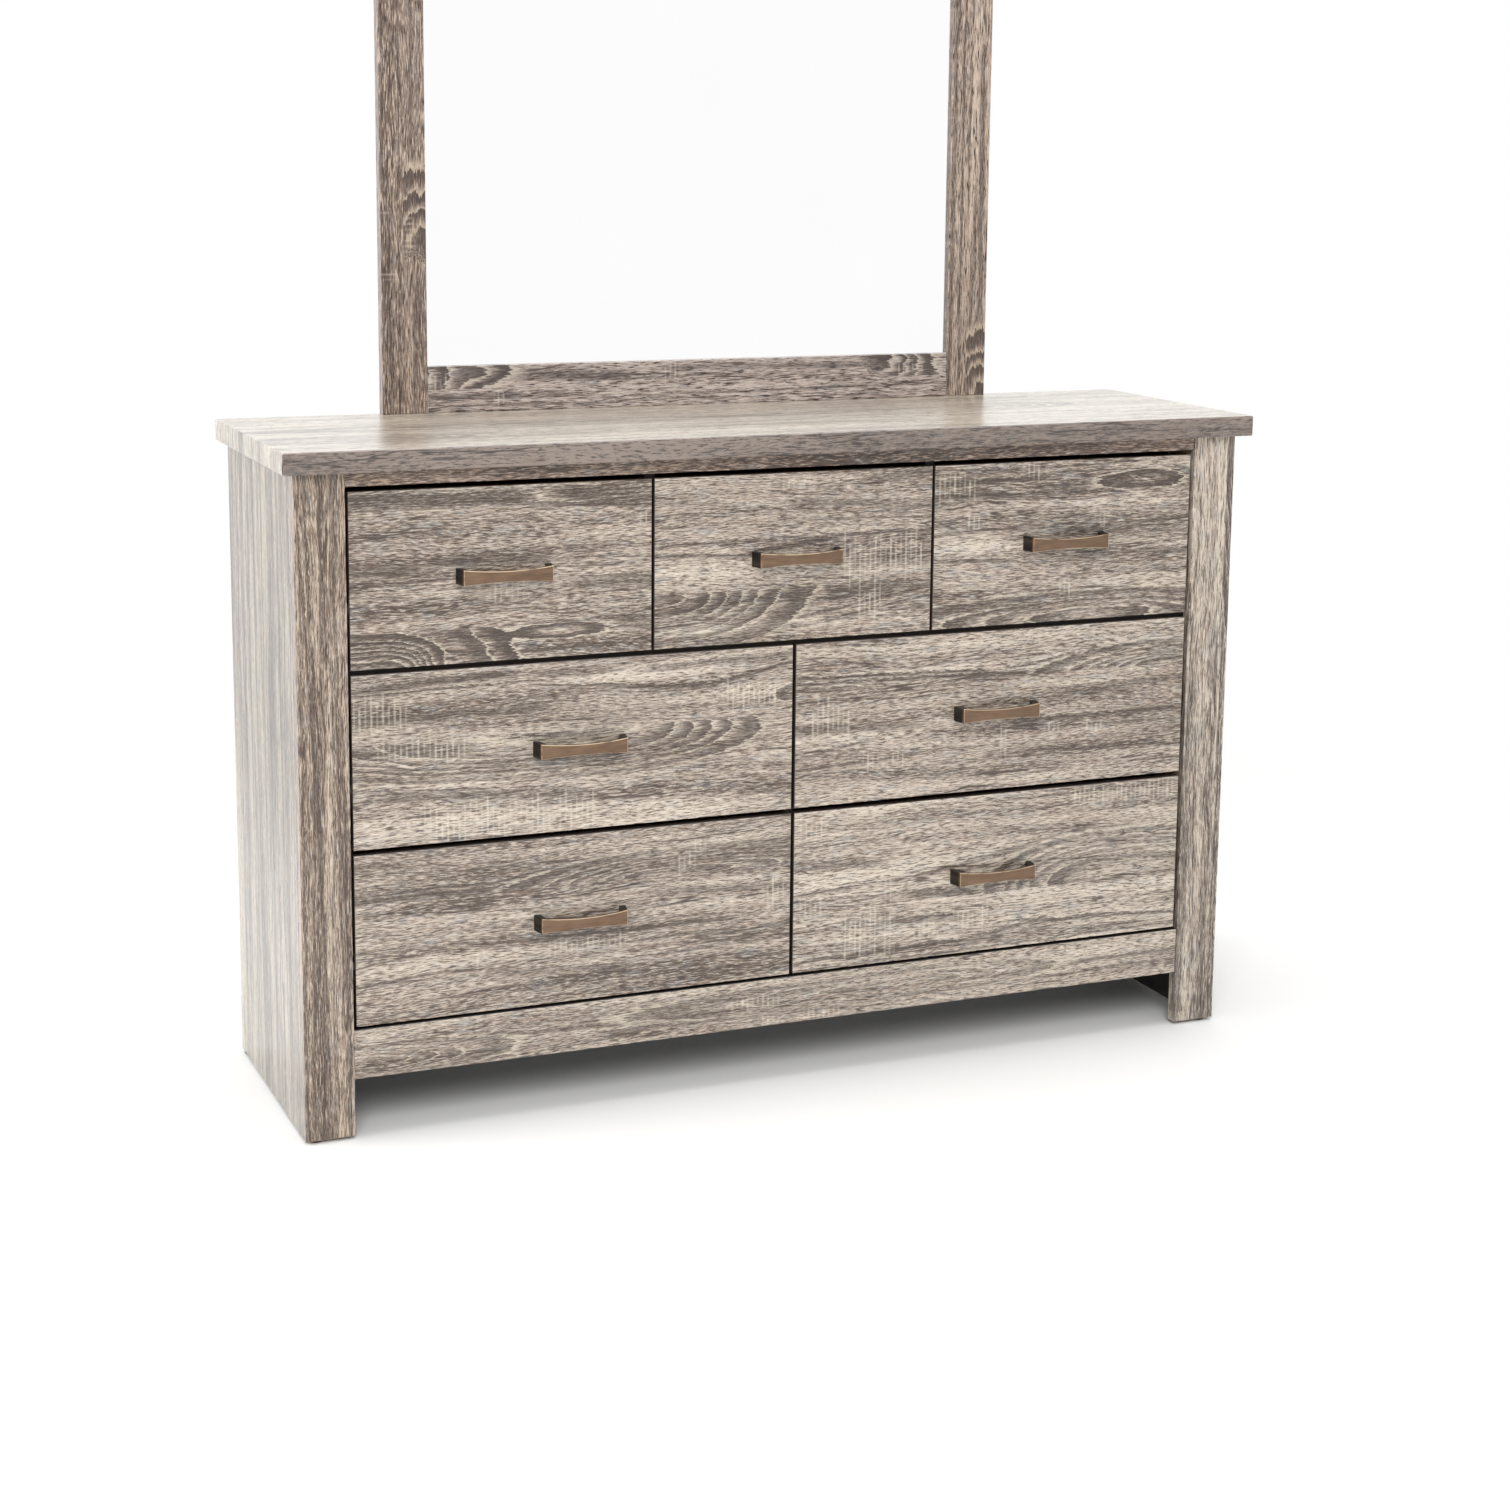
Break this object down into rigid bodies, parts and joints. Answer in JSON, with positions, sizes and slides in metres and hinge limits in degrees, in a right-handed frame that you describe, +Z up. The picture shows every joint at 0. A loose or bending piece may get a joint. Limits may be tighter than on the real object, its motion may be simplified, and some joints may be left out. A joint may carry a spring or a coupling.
{
  "type": "dresser with mirror",
  "caption": "Low wide dresser in printed oak boards with bowed bronze pulls, drawers on side runners, and a framed mirror that stands at the back of the slab top.",
  "frame": {"origin": "on the floor under the middle of the whole depth and width, at the level of the foot glides' undersides", "axes": "+X to the right seen from the front, +Y from the drawers towards the back, +Z up"},
  "size_m": [1.5, 0.4564, 1.8685],
  "materials": {
    "oak_print": "satin printed oak paper on board, grey brown with pale saw marks",
    "dark_board": "matt black brown paper on board",
    "drawer_board": "matt dark brown paper on board",
    "packing_wood": "raw sawn softwood",
    "hardboard": "smooth brown hardboard",
    "aged_bronze": "brushed aged bronze with worn bright edges and blackened legs",
    "runner_steel": "zinc plated folded steel",
    "glide_plastic": "moulded dark brown plastic",
    "mirror": "silvered plate glass"
  },
  "bodies": {
    "case": {"left_stile": "oak_print", "right_stile": "oak_print", "left_side_panel": "oak_print", "right_side_panel": "oak_print", "top_panel": "oak_print", "top_rail": "oak_print", "bottom_rail": "oak_print", "rear_top_rail": "dark_board", "rear_bottom_rail": "dark_board", "case_bottom": "dark_board", "drawer_deck": "dark_board", "center_partition": "dark_board", "upper_partitions": "dark_board", "back_panel": "hardboard", "corner_posts": "packing_wood", "foot_glides": "glide_plastic", "case_runners": "runner_steel", "mirror_left_stile": "oak_print", "mirror_right_stile": "oak_print", "mirror_bottom_rail": "oak_print", "mirror_top_rail": "oak_print", "mirror_glass": "mirror", "mirror_backing": "hardboard", "mirror_supports": "dark_board"},
    "lower_left_drawer": {"lower_left_drawer_front": "oak_print", "lower_left_drawer_box": "drawer_board", "lower_left_drawer_bottom": "hardboard", "lower_left_drawer_pull": "aged_bronze", "lower_left_drawer_runners": "runner_steel"},
    "lower_right_drawer": {"lower_right_drawer_front": "oak_print", "lower_right_drawer_box": "drawer_board", "lower_right_drawer_bottom": "hardboard", "lower_right_drawer_pull": "aged_bronze", "lower_right_drawer_runners": "runner_steel"},
    "middle_left_drawer": {"middle_left_drawer_front": "oak_print", "middle_left_drawer_box": "drawer_board", "middle_left_drawer_bottom": "hardboard", "middle_left_drawer_pull": "aged_bronze", "middle_left_drawer_runners": "runner_steel"},
    "middle_right_drawer": {"middle_right_drawer_front": "oak_print", "middle_right_drawer_box": "drawer_board", "middle_right_drawer_bottom": "hardboard", "middle_right_drawer_pull": "aged_bronze", "middle_right_drawer_runners": "runner_steel"},
    "upper_left_drawer": {"upper_left_drawer_front": "oak_print", "upper_left_drawer_box": "drawer_board", "upper_left_drawer_bottom": "hardboard", "upper_left_drawer_pull": "aged_bronze", "upper_left_drawer_runners": "runner_steel"},
    "upper_center_drawer": {"upper_center_drawer_front": "oak_print", "upper_center_drawer_box": "drawer_board", "upper_center_drawer_bottom": "hardboard", "upper_center_drawer_pull": "aged_bronze", "upper_center_drawer_runners": "runner_steel"},
    "upper_right_drawer": {"upper_right_drawer_front": "oak_print", "upper_right_drawer_box": "drawer_board", "upper_right_drawer_bottom": "hardboard", "upper_right_drawer_pull": "aged_bronze", "upper_right_drawer_runners": "runner_steel"}
  },
  "joints": [
    {"name": "lower_left_drawer_slide", "type": "slide", "parent": "case", "child": "lower_left_drawer", "axis": [0, -1, 0], "range_m": [0, 0.26]},
    {"name": "lower_right_drawer_slide", "type": "slide", "parent": "case", "child": "lower_right_drawer", "axis": [0, -1, 0], "range_m": [0, 0.26]},
    {"name": "middle_left_drawer_slide", "type": "slide", "parent": "case", "child": "middle_left_drawer", "axis": [0, -1, 0], "range_m": [0, 0.26]},
    {"name": "middle_right_drawer_slide", "type": "slide", "parent": "case", "child": "middle_right_drawer", "axis": [0, -1, 0], "range_m": [0, 0.26]},
    {"name": "upper_left_drawer_slide", "type": "slide", "parent": "case", "child": "upper_left_drawer", "axis": [0, -1, 0], "range_m": [0, 0.26]},
    {"name": "upper_center_drawer_slide", "type": "slide", "parent": "case", "child": "upper_center_drawer", "axis": [0, -1, 0], "range_m": [0, 0.26]},
    {"name": "upper_right_drawer_slide", "type": "slide", "parent": "case", "child": "upper_right_drawer", "axis": [0, -1, 0], "range_m": [0, 0.26]}
  ]
}
